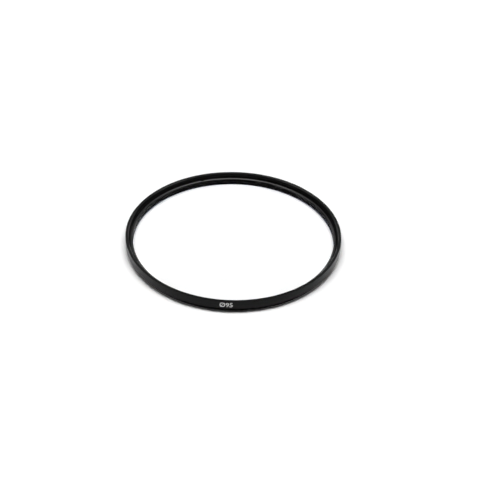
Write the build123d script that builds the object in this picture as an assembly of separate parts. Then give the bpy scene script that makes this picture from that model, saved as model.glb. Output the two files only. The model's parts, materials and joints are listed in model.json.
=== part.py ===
from build123d import *
import math
import os

# Screw-in lens filter, in millimetres: a turned ring with a thread at each end, a flat glass
# disc that lies on a ledge inside it, and a threaded retaining ring that holds the glass down.
# The axis of the glass is Z, the front is up, and the rear end lies on the plane Z = 0.

# Threads, the same nominal size at both ends so that filters can be stacked
THREAD_DIAMETER = 95.0
THREAD_PITCH = 1.0
REAR_THREAD_LENGTH = 2.4    # rear end to the shoulder of the rim
REAR_THREAD_BEVEL = 0.5
RELIEF_WIDTH = 0.5          # groove that ends the rear thread, flared out to the shoulder
RELIEF_FLOOR = 0.15         # width of the groove's straight floor
RELIEF_MARGIN = 0.08        # depth of the groove below the root of the thread
FRONT_THREAD_DEPTH = 2.0    # front face to the shelf below the front thread
FRONT_THREAD_CLEARANCE = 0.05
LEAD_MARGIN = 0.2           # radial width of the lead-in cone outside the front thread
LEAD_ANGLE = 45.0           # lead-in cone, in degrees from the axis

# Rim
RIM_OVERHANG = 1.5          # radial step from the rear thread out to the rim
RIM_BEVEL = 0.15

# Glass and the ledge that carries it
SEAT_WALL = 1.2             # radial wall between the glass seat and the rear thread
LEDGE_WIDTH = 0.65
LEDGE_THICKNESS = 0.8
APERTURE_BEVEL = 0.2
GLASS_THICKNESS = 2.5
GLASS_CLEARANCE = 0.05
GLASS_BEVEL = 0.2

# Retaining ring
RETAINER_STEP = 0.6         # radial step from the glass seat out to the retaining thread
RETAINER_HEIGHT = 1.0
RETAINER_CLEARANCE = 0.05
RETAINER_BEVEL = 0.06
RETAINER_CHAMFER = 0.25     # on the inner edge, so that the ring doesn't shade the picture
RETAINER_SINK = 0.1         # top of the ring below the shelf of the front thread
RETAINER_TRAVEL = 0.2       # free thread below the ring, so that it can clamp the glass
NOTCH_WIDTH = 1.4
NOTCH_LENGTH = 0.62         # from the ring's outer edge inwards
NOTCH_DEPTH = 0.6
NOTCH_ANGLE = 109.1         # of the first notch about the axis, in degrees from +X

# Radii. Threads are plain walls at the nominal radius, the female ones with their clearance
thread_radius = THREAD_DIAMETER / 2
thread_depth = math.sqrt(3) / 2 * THREAD_PITCH * 17 / 24
relief_radius = thread_radius - thread_depth - RELIEF_MARGIN
front_thread_radius = thread_radius + FRONT_THREAD_CLEARANCE
lead_radius = front_thread_radius + LEAD_MARGIN
rim_radius = thread_radius + RIM_OVERHANG
seat_radius = thread_radius - SEAT_WALL
aperture_radius = seat_radius - LEDGE_WIDTH
glass_radius = seat_radius - GLASS_CLEARANCE
retainer_bore_radius = seat_radius + RETAINER_STEP
retainer_radius = retainer_bore_radius - RETAINER_CLEARANCE

# Heights, stacked from the rear end up
relief_bottom = REAR_THREAD_LENGTH - RELIEF_WIDTH
glass_top = LEDGE_THICKNESS + GLASS_THICKNESS
retainer_thread_bottom = glass_top - RETAINER_TRAVEL
retainer_top = glass_top + RETAINER_HEIGHT
shelf_height = retainer_top + RETAINER_SINK
front_height = shelf_height + FRONT_THREAD_DEPTH
lead_bottom = front_height - LEAD_MARGIN / math.tan(math.radians(LEAD_ANGLE))


def turned(outline):
    """Turn an outline of (radius, height) points about the axis."""
    section = make_face(Plane.XZ * Polyline(*outline, close=True))
    return revolve(section, Axis.Z)


def filter_ring():
    """The turned ring: rear thread, rim, front thread, retaining thread, glass seat and ledge."""
    rear_thread = [
        (thread_radius - REAR_THREAD_BEVEL, 0),
        (thread_radius, REAR_THREAD_BEVEL),
        (thread_radius, relief_bottom),
        (relief_radius, relief_bottom),
        (relief_radius, relief_bottom + RELIEF_FLOOR),
        (thread_radius, REAR_THREAD_LENGTH),
    ]
    rim = [
        (rim_radius - RIM_BEVEL, REAR_THREAD_LENGTH),
        (rim_radius, REAR_THREAD_LENGTH + RIM_BEVEL),
        (rim_radius, front_height - RIM_BEVEL),
        (rim_radius - RIM_BEVEL, front_height),
    ]
    front_thread = [
        (lead_radius, front_height),
        (front_thread_radius, lead_bottom),
        (front_thread_radius, shelf_height),
    ]
    glass_seat = [
        (retainer_bore_radius, shelf_height),
        (retainer_bore_radius, retainer_thread_bottom),
        (seat_radius, retainer_thread_bottom),
        (seat_radius, LEDGE_THICKNESS),
        (aperture_radius, LEDGE_THICKNESS),
        (aperture_radius, APERTURE_BEVEL),
        (aperture_radius + APERTURE_BEVEL, 0),
    ]
    return turned(rear_thread + rim + front_thread + glass_seat)


def glass_disc():
    """The flat glass, with both edges bevelled, lying on the ledge."""
    return turned([
        (0, LEDGE_THICKNESS),
        (glass_radius - GLASS_BEVEL, LEDGE_THICKNESS),
        (glass_radius, LEDGE_THICKNESS + GLASS_BEVEL),
        (glass_radius, glass_top - GLASS_BEVEL),
        (glass_radius - GLASS_BEVEL, glass_top),
        (0, glass_top),
    ])


def retaining_ring():
    """The ring screwed down on the glass, with two opposite notches for a spanner."""
    ring = turned([
        (aperture_radius, glass_top),
        (retainer_radius, glass_top),
        (retainer_radius, retainer_top - RETAINER_BEVEL),
        (retainer_radius - RETAINER_BEVEL, retainer_top),
        (aperture_radius + RETAINER_CHAMFER, retainer_top),
        (aperture_radius, retainer_top - RETAINER_CHAMFER),
    ])
    cutter = Pos(retainer_radius, 0, retainer_top) * Box(2 * NOTCH_LENGTH, NOTCH_WIDTH, 2 * NOTCH_DEPTH)
    for angle in (NOTCH_ANGLE, NOTCH_ANGLE + 180):
        ring -= Rot(0, 0, angle) * cutter
    return ring


os.makedirs("parts", exist_ok=True)
export_step(filter_ring(), "parts/filter_ring.step")
export_step(glass_disc(), "parts/glass_disc.step")
export_step(retaining_ring(), "parts/retaining_ring.step")
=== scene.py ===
import json
import math
from collections import namedtuple

import bmesh
import bpy
import numpy as np
from mathutils import Matrix, Vector


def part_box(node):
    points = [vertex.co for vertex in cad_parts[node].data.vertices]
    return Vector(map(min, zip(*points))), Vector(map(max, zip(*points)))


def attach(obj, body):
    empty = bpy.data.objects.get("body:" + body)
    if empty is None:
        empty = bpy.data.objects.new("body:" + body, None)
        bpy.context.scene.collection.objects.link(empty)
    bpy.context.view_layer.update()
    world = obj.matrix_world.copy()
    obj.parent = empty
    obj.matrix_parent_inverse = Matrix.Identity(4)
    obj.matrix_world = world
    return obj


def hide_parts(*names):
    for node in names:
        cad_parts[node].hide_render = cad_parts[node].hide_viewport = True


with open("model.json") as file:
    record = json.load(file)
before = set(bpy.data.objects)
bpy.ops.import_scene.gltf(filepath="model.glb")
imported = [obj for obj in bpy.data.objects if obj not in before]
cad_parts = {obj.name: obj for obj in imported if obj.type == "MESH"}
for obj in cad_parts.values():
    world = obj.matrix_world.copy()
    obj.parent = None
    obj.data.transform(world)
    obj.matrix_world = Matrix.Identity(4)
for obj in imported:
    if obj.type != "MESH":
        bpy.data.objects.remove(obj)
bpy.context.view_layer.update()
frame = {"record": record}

# A screw-in lens filter lying on a white table: the ring, its glass and the retaining ring are turned
# here with their real threads, in place of the plain solids. Lengths are in metres.

MM = 0.001
SEGMENTS = 384              # steps round every turned piece
THREAD_STEPS = 16           # rows of points in one pitch of a thread
WELD_DISTANCE = 1e-4 * MM   # points closer than this become one
SHARP_ANGLE = math.radians(12)

# Sizes from the frame
mounts = {mount["name"]: mount for mount in frame["record"]["mounts"]}
ring_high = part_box("filter_ring")[1]
glass_low, glass_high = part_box("glass_disc")
retainer_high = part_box("retaining_ring")[1]
RIM_RADIUS = ring_high.x
FRONT = ring_high.z
SHOULDER = mounts["rear_shoulder"]["pos_m"][2]
THREAD_RADIUS = mounts["rear_thread"]["dims"]["r_mm"] * MM
FRONT_THREAD_RADIUS = mounts["front_thread"]["dims"]["r_mm"] * MM
GLASS_RADIUS = glass_high.x
LEDGE = glass_low.z
GLASS_TOP = glass_high.z
RETAINER_RADIUS = retainer_high.x
RETAINER_TOP = retainer_high.z

# Sizes of the section
THREAD_PITCH = 1.0 * MM
REAR_THREAD_DEPTH = 17 / 24     # share of the full V
INNER_THREAD_DEPTH = 5 / 8      # share of the full V, in the front and retaining threads
REAR_BEVEL = 0.5 * MM
RELIEF_WIDTH = 0.5 * MM
RELIEF_FLOOR = 0.15 * MM
RELIEF_MARGIN = 0.08 * MM
RIM_BEVEL = 0.15 * MM
LEAD_WIDTH = 0.2 * MM
LEAD_ANGLE = math.radians(45)
GLASS_CLEARANCE = 0.05 * MM
GLASS_BEVEL = 0.2 * MM
GLASS_GAP = 0.01 * MM       # air between the glass and the metal above and below it
LEDGE_WIDTH = 0.65 * MM
APERTURE_BEVEL = 0.2 * MM
RETAINING_PITCH = 0.5 * MM
RETAINER_CLEARANCE = 0.05 * MM
RETAINER_SINK = 0.1 * MM
RETAINER_TRAVEL = 0.2 * MM
RETAINER_BEVEL = 0.06 * MM
RETAINER_CHAMFER = 0.25 * MM
NOTCH_WIDTH = 1.4 * MM
NOTCH_LENGTH = 0.62 * MM
NOTCH_DEPTH = 0.6 * MM
NOTCH_ANGLE = math.radians(109.1)

SEAT_RADIUS = GLASS_RADIUS + GLASS_CLEARANCE
APERTURE_RADIUS = SEAT_RADIUS - LEDGE_WIDTH
RETAINER_FLOOR = GLASS_TOP - RETAINER_TRAVEL
SHELF = RETAINER_TOP + RETAINER_SINK
RELIEF_BOTTOM = SHOULDER - RELIEF_WIDTH
LEAD_RADIUS = FRONT_THREAD_RADIUS + LEAD_WIDTH
LEAD_BOTTOM = FRONT - LEAD_WIDTH / math.tan(LEAD_ANGLE)

# Size marking on the rim
MARK_TEXT = "Ø95"
MARK_HEIGHT = 2.3 * MM
CAPITAL_SHARE = 0.7         # height of a capital as a share of the font's size
MARK_WEIGHT = 0.03 * MM     # added all round the strokes
MARK_ANGLE = math.radians(267)
MARK_INK = 0.02 * MM        # thickness of the ink, half of it sunk into the rim

# Finishes. A face's normal tells how level it lies
SATIN_TONE = (0.0025, 0.0025, 0.0026)
MATTE_TONE = (0.004, 0.004, 0.004)
FACE_TONE = (0.004, 0.004, 0.0041)
GRAIN_HEIGHT = 0.004 * MM
LEVEL_NORMAL = 0.99         # a face is level when its normal's height is above this
RISING_NORMAL = 0.1         # a face slopes upwards when its normal's height is above this
FACE_TOLERANCE = 0.01 * MM

# Table and room
FLOOR_REACH = 8.0           # from the axis to each edge of the table
FLOOR_DROP = 0.02 * MM      # keeps the table clear of the filter's rear end
GLOW_START = 0.1            # distance from the axis where the table begins to glow
GLOW_FULL = 0.5             # distance from the axis where it glows fully
BACKDROP_WHITE = 0.15       # height of a direction up to which the backdrop is white
BACKDROP_DARK = 0.35        # height of a direction from which it is dark

# Camera, above the front of the table, aimed a little beside the centre of the rim's front face
CAMERA_LENS = 135.0
CAMERA_SENSOR = 36.0
CAMERA_CLIP = 0.01
CAMERA_DISTANCE = 0.818
CAMERA_ELEVATION = math.radians(37.0)
CAMERA_ROLL = math.radians(1.08)
CAMERA_AIM_RIGHT = 2.99 * MM
CAMERA_AIM_UP = -2.85 * MM

ANGLES = np.arange(SEGMENTS) * 2 * math.pi / SEGMENTS

# A thread is a wall that winds between two radii. start is the height of a ridge at angle 0
Thread = namedtuple("Thread", "outer inner pitch start")


def add_object(name, data):
    """Put a new object into the scene."""
    added = bpy.data.objects.new(name, data)
    bpy.context.scene.collection.objects.link(added)
    return added


def shaped_mesh(source):
    """A new mesh of an object's final shape, with its modifiers or its text worked out."""
    depsgraph = bpy.context.evaluated_depsgraph_get()
    return bpy.data.meshes.new_from_object(source.evaluated_get(depsgraph))


def weld(mesh):
    """Join points that lie together, and turn all faces outwards."""
    welded = bmesh.new()
    welded.from_mesh(mesh)
    bmesh.ops.remove_doubles(welded, verts=welded.verts, dist=WELD_DISTANCE)
    bmesh.ops.recalc_face_normals(welded, faces=welded.faces)
    welded.to_mesh(mesh)
    welded.free()


def smooth(piece):
    """Shade the round faces smooth and keep the turned edges sharp."""
    piece.data.shade_smooth()
    piece.data.set_sharp_from_angle(angle=SHARP_ANGLE)


def thread_of(outer, pitch, start, depth_share):
    """A 60 degree thread with its depth as a share of the full V."""
    depth = math.sqrt(3) / 2 * pitch * depth_share
    return Thread(outer, outer - depth, pitch, start)


def thread_radius(thread, angle, height):
    """Radius of the thread's wall: an eighth of the pitch on top, a quarter in the groove."""
    phase = ((height - thread.start) / thread.pitch - angle / (2 * math.pi)) % 1.0
    corners = [0, 2 / 16, 7 / 16, 11 / 16, 1]
    radii = [thread.outer, thread.outer, thread.inner, thread.inner, thread.outer]
    return np.interp(phase, corners, radii)


class Shell:
    """Gathers the skin of a turned piece from rings of points and stretches of thread."""

    def __init__(self):
        self.points = []
        self.faces = []

    def add_rows(self, radius, height):
        """Add rows of points, each once round the axis, and return their numbers."""
        radius, height = np.broadcast_arrays(radius, height)
        start = sum(len(rows) for rows in self.points)
        rows = np.stack([radius * np.cos(ANGLES), radius * np.sin(ANGLES), height], axis=-1)
        self.points.append(rows.reshape(-1, 3))
        return start + np.arange(radius.size).reshape(radius.shape)

    def add_faces(self, here, there):
        """Join rows of points to the same rows one step further round."""
        corners = [here[:-1], there[:-1], there[1:], here[1:]]
        self.faces.append(np.stack(corners, axis=-1).reshape(-1, 4))

    def skin(self, *rings):
        """Join rings of (radius, height), one after the other. A radius may vary round the ring."""
        radius = np.stack([np.broadcast_to(ring[0], SEGMENTS) for ring in rings])
        height = np.stack([np.broadcast_to(ring[1], SEGMENTS) for ring in rings])
        here = self.add_rows(radius, height)
        self.add_faces(here, np.roll(here, -1, axis=1))

    def wind(self, thread, low, high, limit):
        """Add the thread's wall from low to high, in rows that follow its helix. limit cuts it back."""
        first = math.floor((low - thread.start) / thread.pitch * THREAD_STEPS) - THREAD_STEPS
        last = math.ceil((high - thread.start) / thread.pitch * THREAD_STEPS) + 1
        turns = np.arange(first, last + 1)[:, None] / THREAD_STEPS + ANGLES / (2 * math.pi)
        height = np.clip(thread.start + thread.pitch * turns, low, high)
        here = self.add_rows(limit(thread_radius(thread, ANGLES, height), height), height)
        # One turn on, a row has climbed by a pitch and becomes a higher row
        one_turn_on = np.minimum(np.arange(len(here)) + THREAD_STEPS, len(here) - 1)
        there = np.roll(here, -1, axis=1)
        there[:, -1] = here[one_turn_on, 0]
        self.add_faces(here, there)

    def piece(self, name):
        """Weld the skin into one closed mesh."""
        mesh = bpy.data.meshes.new(name)
        mesh.from_pydata(np.concatenate(self.points), [], np.concatenate(self.faces).tolist())
        weld(mesh)
        return add_object(name, mesh)


def no_limit(radius, height):
    """Nothing cuts the thread."""
    return radius


def rear_limit(radius, height):
    """The bevel on the rear end cuts the first turn of the rear thread."""
    return np.minimum(radius, THREAD_RADIUS - REAR_BEVEL + height)


def front_limit(radius, height):
    """The lead-in cone cuts the first turn of the front thread."""
    return np.maximum(radius, LEAD_RADIUS - (FRONT - height) * math.tan(LEAD_ANGLE))


def retainer_limit(radius, height):
    """The bevel on the retaining ring cuts its last turn."""
    return np.minimum(radius, RETAINER_RADIUS - RETAINER_BEVEL + RETAINER_TOP - height)


def end_of(thread, height, limit=no_limit):
    """The ring of points where a thread ends at this height."""
    return limit(thread_radius(thread, ANGLES, height), height), height


def make_filter_ring():
    """The turned ring with its rear thread, rim, front thread, retaining thread, seat and ledge."""
    rear = thread_of(THREAD_RADIUS, THREAD_PITCH, 0.0, REAR_THREAD_DEPTH)
    front = thread_of(THREAD_RADIUS, THREAD_PITCH, SHELF, INNER_THREAD_DEPTH)
    retaining_radius = RETAINER_RADIUS + RETAINER_CLEARANCE
    retaining = thread_of(retaining_radius, RETAINING_PITCH, RETAINER_FLOOR, INNER_THREAD_DEPTH)
    relief_radius = rear.inner - RELIEF_MARGIN
    shell = Shell()
    shell.skin(
        (APERTURE_RADIUS, APERTURE_BEVEL),
        (APERTURE_RADIUS + APERTURE_BEVEL, 0.0),
        end_of(rear, 0.0, rear_limit),
    )
    shell.wind(rear, 0.0, RELIEF_BOTTOM, rear_limit)
    shell.skin(
        end_of(rear, RELIEF_BOTTOM),
        (relief_radius, RELIEF_BOTTOM),
        (relief_radius, RELIEF_BOTTOM + RELIEF_FLOOR),
        (THREAD_RADIUS, SHOULDER),
        (RIM_RADIUS - RIM_BEVEL, SHOULDER),
        (RIM_RADIUS, SHOULDER + RIM_BEVEL),
        (RIM_RADIUS, FRONT - RIM_BEVEL),
        (RIM_RADIUS - RIM_BEVEL, FRONT),
        (LEAD_RADIUS, FRONT),
    )
    shell.wind(front, SHELF, FRONT, front_limit)
    shell.skin(end_of(front, SHELF), end_of(retaining, SHELF))
    shell.wind(retaining, RETAINER_FLOOR, SHELF, no_limit)
    shell.skin(
        end_of(retaining, RETAINER_FLOOR),
        (SEAT_RADIUS, RETAINER_FLOOR),
        (SEAT_RADIUS, LEDGE),
        (APERTURE_RADIUS, LEDGE),
        (APERTURE_RADIUS, APERTURE_BEVEL),
    )
    return shell.piece("filter_ring_turned")


def make_retaining_ring():
    """The retaining ring, with its thread in step with the filter ring's and two spanner notches."""
    thread = thread_of(RETAINER_RADIUS, RETAINING_PITCH, RETAINER_FLOOR, INNER_THREAD_DEPTH)
    shell = Shell()
    shell.skin((APERTURE_RADIUS, GLASS_TOP), end_of(thread, GLASS_TOP))
    shell.wind(thread, GLASS_TOP, RETAINER_TOP, retainer_limit)
    shell.skin(
        end_of(thread, RETAINER_TOP, retainer_limit),
        (APERTURE_RADIUS + RETAINER_CHAMFER, RETAINER_TOP),
        (APERTURE_RADIUS, RETAINER_TOP - RETAINER_CHAMFER),
        (APERTURE_RADIUS, GLASS_TOP),
    )
    ring = shell.piece("retaining_ring_notched")
    cut_notches(ring)
    return ring


def cut_notches(ring):
    """Cut two opposite notches into the ring's outer edge."""
    mesh = bpy.data.meshes.new("notches")
    blocks = bmesh.new()
    size = Matrix.Diagonal((2 * NOTCH_LENGTH, NOTCH_WIDTH, 2 * NOTCH_DEPTH, 1))
    place = Matrix.Translation((RETAINER_RADIUS, 0, RETAINER_TOP)) @ size
    for angle in (NOTCH_ANGLE, NOTCH_ANGLE + math.pi):
        bmesh.ops.create_cube(blocks, size=1.0, matrix=Matrix.Rotation(angle, 4, "Z") @ place)
    blocks.to_mesh(mesh)
    blocks.free()
    cutter = add_object("notches", mesh)
    cut = ring.modifiers.new("notches", "BOOLEAN")
    cut.object = cutter
    cut.operation = "DIFFERENCE"
    cut.solver = "EXACT"
    ring.data = shaped_mesh(ring)
    ring.modifiers.clear()
    bpy.data.objects.remove(cutter)


def make_glass():
    """The flat glass disc with its bevelled edges."""
    bottom = LEDGE + GLASS_GAP
    top = GLASS_TOP - GLASS_GAP
    shell = Shell()
    shell.skin(
        (0.0, bottom),
        (GLASS_RADIUS - GLASS_BEVEL, bottom),
        (GLASS_RADIUS, bottom + GLASS_BEVEL),
        (GLASS_RADIUS, top - GLASS_BEVEL),
        (GLASS_RADIUS - GLASS_BEVEL, top),
        (0.0, top),
    )
    return shell.piece("glass_disc_polished")


def make_size_mark():
    """A plain size number in white ink, wrapped on the rim."""
    text = bpy.data.curves.new("size_mark", "FONT")
    text.body = MARK_TEXT
    text.align_x = "CENTER"
    text.align_y = "CENTER"
    text.size = MARK_HEIGHT / CAPITAL_SHARE
    text.extrude = MARK_INK / 2
    text.offset = MARK_WEIGHT
    flat = add_object("size_mark_flat", text)
    mesh = shaped_mesh(flat)
    bpy.data.objects.remove(flat)
    for point in mesh.vertices:
        angle = MARK_ANGLE + point.co.x / RIM_RADIUS
        radius = RIM_RADIUS + point.co.z
        height = (SHOULDER + FRONT) / 2 + point.co.y
        point.co = (radius * math.cos(angle), radius * math.sin(angle), height)
    weld(mesh)
    mesh.name = "size_mark"
    return add_object("size_mark", mesh)


class Nodes:
    """Builds the nodes of a material or a world."""

    def __init__(self, tree):
        self.tree = tree
        tree.nodes.clear()

    def add(self, kind, *values, settings=None, **inputs):
        """Add a node. Its inputs get sockets to link or values to set, in order or by name."""
        node = self.tree.nodes.new("ShaderNode" + kind)
        for name, value in (settings or {}).items():
            setattr(node, name, value)
        for number, value in enumerate(values):
            self.put(node.inputs[number], value)
        for name, value in inputs.items():
            self.put(node.inputs[name.replace("_", " ")], value)
        return node

    def put(self, socket, value):
        """Link an input to another node's socket, or set it to a plain value."""
        if isinstance(value, bpy.types.NodeSocket):
            self.tree.links.new(value, socket)
        else:
            socket.default_value = value

    def math(self, operation, *values):
        """The result of a sum on sockets and numbers."""
        return self.add("Math", *values, settings={"operation": operation}).outputs[0]

    def length(self, vector):
        """The length of a vector."""
        return self.add("VectorMath", vector, settings={"operation": "LENGTH"}).outputs["Value"]

    def noise(self, place, scale, detail):
        """Noise from 0 to 1, with scale in grains a metre."""
        return self.add("TexNoise", Vector=place, Scale=scale, Detail=detail).outputs["Fac"]

    def span(self, value, low, high):
        """Map a 0 to 1 value onto low to high."""
        return self.add("MapRange", Value=value, To_Min=low, To_Max=high).outputs["Result"]

    def ramp(self, value, *stops):
        """Colour a value by two stops, each a position and a colour."""
        node = self.add("ValToRGB", Fac=value)
        for number, (position, colour) in enumerate(stops):
            node.color_ramp.elements[number].position = position
            node.color_ramp.elements[number].color = colour
        return node.outputs["Color"]


def grey(level):
    """A neutral colour."""
    return (level, level, level, 1.0)


def new_material(name):
    """An empty node material, and the builder of its nodes."""
    material = bpy.data.materials.new(name)
    material.use_nodes = True
    return material, Nodes(material.node_tree)


def finish_material(nodes, shader):
    """Show a shader on the material's surface."""
    nodes.add("OutputMaterial", Surface=shader.outputs[0])


def turned_coordinates(nodes):
    """Place on the section of a turned piece, as a vector of radius and height, and the plain place."""
    place = nodes.add("TexCoord").outputs["Object"]
    split = nodes.add("SeparateXYZ", Vector=place)
    flat = nodes.add("CombineXYZ", X=split.outputs["X"], Y=split.outputs["Y"])
    section = nodes.add("CombineXYZ", X=nodes.length(flat.outputs[0]), Y=split.outputs["Z"])
    return section.outputs[0], place


def make_anodised(name, tone, roughness, shine, anisotropy):
    """Black anodised aluminium: fine turning marks round the axis under a dyed satin skin."""
    material, nodes = new_material(name)
    section, place = turned_coordinates(nodes)
    marks = nodes.noise(section, scale=9000.0, detail=2.0)
    grain = nodes.noise(place, scale=6000.0, detail=3.0)
    clouds = nodes.noise(place, scale=120.0, detail=2.0)
    shade = nodes.span(clouds, 0.75, 1.25)
    colour = nodes.add("VectorMath", tone, settings={"operation": "SCALE"}, Scale=shade)
    wear = nodes.span(clouds, roughness - 0.03, roughness + 0.03)
    uneven = nodes.math("ADD", wear, nodes.span(grain, -0.04, 0.04))
    relief = nodes.math("ADD", nodes.math("MULTIPLY", marks, 0.6), nodes.math("MULTIPLY", grain, 0.4))
    bump = nodes.add("Bump", Height=relief, Strength=0.25, Distance=GRAIN_HEIGHT)
    tangent = nodes.add("Tangent", settings={"direction_type": "RADIAL", "axis": "Z"})
    shader = nodes.add(
        "BsdfPrincipled",
        Base_Color=colour.outputs[0],
        Roughness=uneven,
        IOR=1.77,
        Specular_IOR_Level=shine,
        Anisotropic=anisotropy,
        Anisotropic_Rotation=0.25,
        Normal=bump.outputs[0],
        Tangent=tangent.outputs[0],
    )
    finish_material(nodes, shader)
    return material


def make_polished_glass():
    """Clear optical glass with a thin anti-reflection coat and the faintest wipe marks."""
    material, nodes = new_material("coated_glass")
    place = nodes.add("TexCoord").outputs["Object"]
    wiped = nodes.add("Mapping", Vector=place, Scale=(900.0, 120.0, 900.0)).outputs[0]
    wipe = nodes.noise(wiped, scale=1.0, detail=2.0)
    shader = nodes.add(
        "BsdfPrincipled",
        Base_Color=(0.996, 0.998, 0.997, 1.0),
        Roughness=nodes.span(wipe, 0.0, 0.012),
        IOR=1.52,
        Transmission_Weight=1.0,
        Thin_Film_Thickness=130.0,
        Thin_Film_IOR=1.38,
    )
    # Light on its way to the table goes straight through
    clear = nodes.add("BsdfTransparent", Color=grey(0.99))
    rays = nodes.add("LightPath").outputs
    on_its_way = nodes.math("MAXIMUM", rays["Is Shadow Ray"], rays["Is Diffuse Ray"])
    finish_material(nodes, nodes.add("MixShader", on_its_way, shader.outputs[0], clear.outputs[0]))
    return material


def grainy_skin(nodes, scale, dark, pale, strength):
    """Fine grain as a 0 to 1 value, as a colour from dark to pale, and as a bumped normal."""
    place = nodes.add("TexCoord").outputs["Object"]
    grain = nodes.noise(place, scale, detail=3.0)
    colour = nodes.ramp(grain, (0.0, dark), (1.0, pale))
    bump = nodes.add("Bump", Height=grain, Strength=strength, Distance=GRAIN_HEIGHT)
    return grain, colour, bump.outputs[0]


def make_ground_edge():
    """The ground and blackened edge of the glass."""
    material, nodes = new_material("ground_glass_edge")
    grain, colour, normal = grainy_skin(nodes, 9000.0, dark=grey(0.002), pale=grey(0.012), strength=0.4)
    shader = nodes.add(
        "BsdfPrincipled",
        Base_Color=colour,
        Roughness=nodes.span(grain, 0.6, 0.85),
        Specular_IOR_Level=0.1,
        Normal=normal,
    )
    finish_material(nodes, shader)
    return material


def make_ink():
    """Matte white ink, a little uneven."""
    material, nodes = new_material("white_ink")
    thin_ink = (0.66, 0.66, 0.65, 1.0)
    full_ink = (0.86, 0.86, 0.85, 1.0)
    grain, colour, normal = grainy_skin(nodes, 5000.0, dark=thin_ink, pale=full_ink, strength=0.2)
    shader = nodes.add(
        "BsdfPrincipled",
        Base_Color=colour,
        Roughness=nodes.span(grain, 0.5, 0.7),
        Normal=normal,
    )
    finish_material(nodes, shader)
    return material


def seen_as_backdrop(nodes):
    """1 for rays that show the backdrop to the camera, straight or by way of glass and metal."""
    rays = nodes.add("LightPath").outputs
    straight = nodes.math("MAXIMUM", rays["Is Camera Ray"], rays["Is Transmission Ray"])
    return nodes.math("MAXIMUM", straight, rays["Is Glossy Ray"])


def make_white_table():
    """Matte white that keeps the shadow near the axis, and glows further out so that it shows as white."""
    material, nodes = new_material("white_table")
    distance = nodes.length(nodes.add("TexCoord").outputs["Object"])
    lift = nodes.add("MapRange", Value=distance, From_Min=GLOW_START, From_Max=GLOW_FULL)
    seen = nodes.math("MULTIPLY", seen_as_backdrop(nodes), lift.outputs["Result"])
    lit = nodes.add("BsdfDiffuse", Color=grey(1.0))
    glow = nodes.add("Emission", Strength=seen)
    finish_material(nodes, nodes.add("AddShader", lit.outputs[0], glow.outputs[0]))
    return material


def make_floor():
    """The table top that the filter lies on."""
    mesh = bpy.data.meshes.new("floor")
    sheet = bmesh.new()
    bmesh.ops.create_grid(sheet, x_segments=1, y_segments=1, size=FLOOR_REACH)
    sheet.to_mesh(mesh)
    sheet.free()
    mesh.materials.append(make_white_table())
    floor = add_object("floor", mesh)
    floor.location.z = -FLOOR_DROP


def make_world():
    """A dim room, seen and mirrored as a backdrop that is white low down and dark above."""
    world = bpy.data.worlds.new("studio")
    world.use_nodes = True
    bpy.context.scene.world = world
    nodes = Nodes(world.node_tree)
    direction = nodes.add("TexCoord").outputs["Generated"]
    height = nodes.add("SeparateXYZ", Vector=direction).outputs["Z"]
    shade = nodes.ramp(height, (BACKDROP_WHITE, grey(1.0)), (BACKDROP_DARK, grey(0.05)))
    backdrop = nodes.add("Background", Color=shade)
    room = nodes.add("Background", Color=grey(0.04))
    both = nodes.add("MixShader", seen_as_backdrop(nodes), room.outputs[0], backdrop.outputs[0])
    nodes.add("OutputWorld", Surface=both.outputs[0])


def make_softbox(name, place, width, depth, radiance):
    """A rectangular lamp of even brightness, aimed at the filter, which the camera doesn't see."""
    light = bpy.data.lights.new(name, "AREA")
    light.shape = "RECTANGLE"
    light.size = width
    light.size_y = depth
    light.energy = radiance * width * depth * math.pi
    lamp = add_object(name, light)
    lamp.location = place
    lamp.rotation_mode = "QUATERNION"
    lamp.rotation_quaternion = (-Vector(place)).to_track_quat("-Z", "Y")
    lamp.visible_camera = False


def make_lamps():
    """The top lamp lights the table, and the weaker ones are mirrored in the rim and the retaining ring."""
    make_softbox("top_softbox", place=(0.0, -0.1, 0.9), width=0.8, depth=0.4, radiance=9.0)
    make_softbox("back_softbox", place=(0.0, 1.0, 0.64), width=0.28, depth=0.28, radiance=2.0)
    make_softbox("left_softbox", place=(-0.85, -0.2, 0.68), width=0.7, depth=0.5, radiance=0.8)
    make_softbox("right_softbox", place=(0.85, -0.2, 0.68), width=0.7, depth=0.5, radiance=0.8)


def make_camera():
    """The photograph's view: a long lens, from above the front of the table."""
    back = Vector((0, -math.cos(CAMERA_ELEVATION), math.sin(CAMERA_ELEVATION)))
    right = Vector((1, 0, 0))
    up = back.cross(right)
    turned = Matrix.Rotation(CAMERA_ROLL, 3, back)
    centre = Vector((0, 0, FRONT))
    aim = centre + turned @ (right * CAMERA_AIM_RIGHT + up * CAMERA_AIM_UP)
    place = centre + back * CAMERA_DISTANCE
    away = (place - aim).normalized()
    side = (turned @ up).cross(away).normalized()
    axes = Matrix((side, away.cross(side), away)).transposed()
    data = bpy.data.cameras.new("camera")
    data.lens = CAMERA_LENS
    data.sensor_width = CAMERA_SENSOR
    data.clip_start = CAMERA_CLIP
    camera = add_object("camera", data)
    camera.matrix_world = Matrix.Translation(place) @ axes.to_4x4()
    bpy.context.scene.camera = camera


def dress(piece, slot, node, *finishes):
    """Give a piece its finishes and let it ride on the part, in place of a plain solid if there is one."""
    for finish in finishes:
        piece.data.materials.append(finish)
    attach(piece, "root")
    if node:
        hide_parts(node)


def paint(piece, finish_of):
    """Give each face of a piece the finish that finish_of names for it."""
    numbers = {finish.name: number for number, finish in enumerate(piece.data.materials)}
    for face in piece.data.polygons:
        face.material_index = numbers[finish_of(face)]


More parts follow.
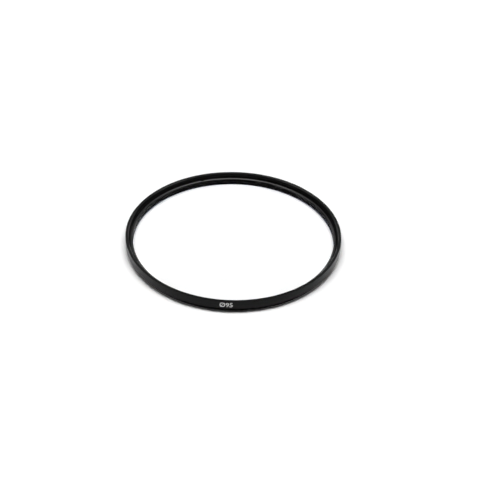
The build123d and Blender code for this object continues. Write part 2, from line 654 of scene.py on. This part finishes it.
def ring_finish(face):
    """The inner threads, the seat and the shelf are matte, the lead-in and the clear opening satin."""
    inward = face.normal.xy.dot(face.center.xy) < 0
    shelf = face.normal.z > LEVEL_NORMAL and abs(face.center.z - SHELF) < FACE_TOLERANCE
    if inward and face.center.z > LEAD_BOTTOM:
        return "satin_chamfer"
    if inward and face.center.z < LEDGE:
        return "satin_bore"
    if inward or shelf:
        return "blackened"
    return "black_anodised"


def retainer_finish(face):
    """The top is brushed, the chamfer and the bore inside it are satin, and the rest is matte."""
    if face.center.z > RETAINER_TOP - FACE_TOLERANCE:
        return "turned_face"
    if face.center.xy.length < APERTURE_RADIUS + RETAINER_CHAMFER:
        return "satin_chamfer" if face.normal.z > RISING_NORMAL else "satin_bore"
    return "blackened"


def glass_finish(face):
    """The flat faces are polished and the edge is ground."""
    return "coated_glass" if abs(face.normal.z) > LEVEL_NORMAL else "ground_glass_edge"


blackened = make_anodised("blackened", MATTE_TONE, roughness=0.6, shine=0.014, anisotropy=0.0)
bore = make_anodised("satin_bore", SATIN_TONE, roughness=0.24, shine=0.04, anisotropy=0.0)
chamfer = make_anodised("satin_chamfer", SATIN_TONE, roughness=0.148, shine=0.3, anisotropy=0.0)
anodised = make_anodised("black_anodised", SATIN_TONE, roughness=0.24, shine=0.057, anisotropy=0.3)
turned_face = make_anodised("turned_face", FACE_TONE, roughness=0.663, shine=0.78, anisotropy=0.775)

ring = make_filter_ring()
smooth(ring)
dress(ring, "anodised_ring", "filter_ring", anodised, blackened, bore, chamfer)
paint(ring, ring_finish)

retainer = make_retaining_ring()
smooth(retainer)
dress(retainer, "anodised_retainer", "retaining_ring", blackened, bore, turned_face, chamfer)
paint(retainer, retainer_finish)

glass = make_glass()
smooth(glass)
dress(glass, "clear_glass", "glass_disc", make_polished_glass(), make_ground_edge())
paint(glass, glass_finish)

dress(make_size_mark(), "white_marking", None, make_ink())

make_floor()
make_world()
make_lamps()
make_camera()
bpy.context.scene.view_settings.view_transform = "Standard"
